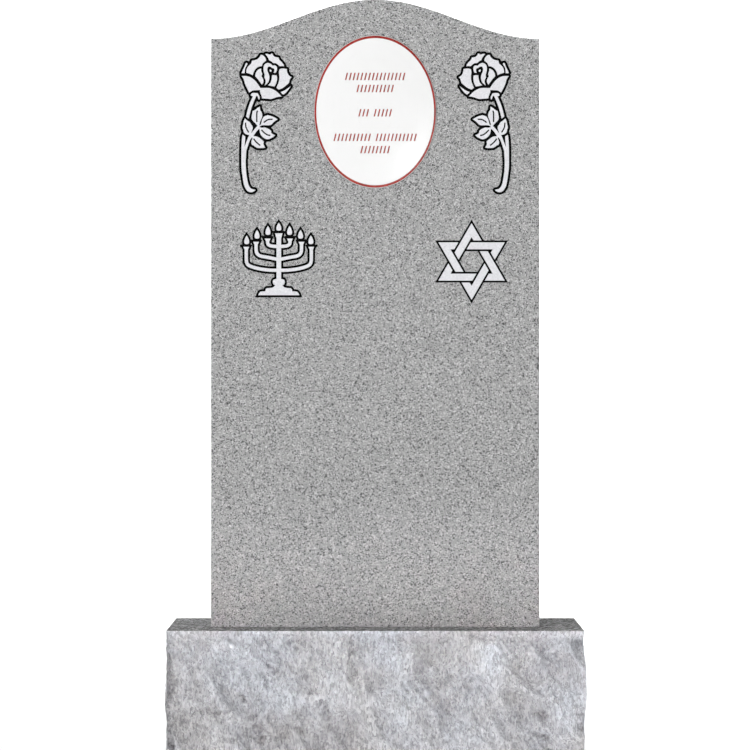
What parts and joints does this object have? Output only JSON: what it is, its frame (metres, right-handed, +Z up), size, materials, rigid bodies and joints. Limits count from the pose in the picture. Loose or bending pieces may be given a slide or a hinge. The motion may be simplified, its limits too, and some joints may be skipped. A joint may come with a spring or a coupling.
{
  "type": "upright serpentine-top headstone",
  "caption": "Upright granite headstone: a serpentine-top tablet with carved roses, menorah and interlaced star and an oval ceramic cameo, on a rock-pitched granite base.",
  "frame": {"origin": "middle of the base's underside", "axes": "+Z up; the carved face looks along -Y; +X is to the right of someone facing the carving"},
  "size_m": [0.7068, 0.3038, 1.27],
  "materials": {
    "tablet_granite": "steeled mid-grey granite with blackened sandblasted outlines and frosted panels",
    "base_granite": "rock-pitched light blue-grey granite with a sawn top",
    "cameo_ceramic": "glossy white glaze with a red rim line and red strokes"
  },
  "bodies": {
    "root": {"tablet": "tablet_granite", "base": "base_granite", "cameo": "cameo_ceramic"}
  },
  "joints": []
}
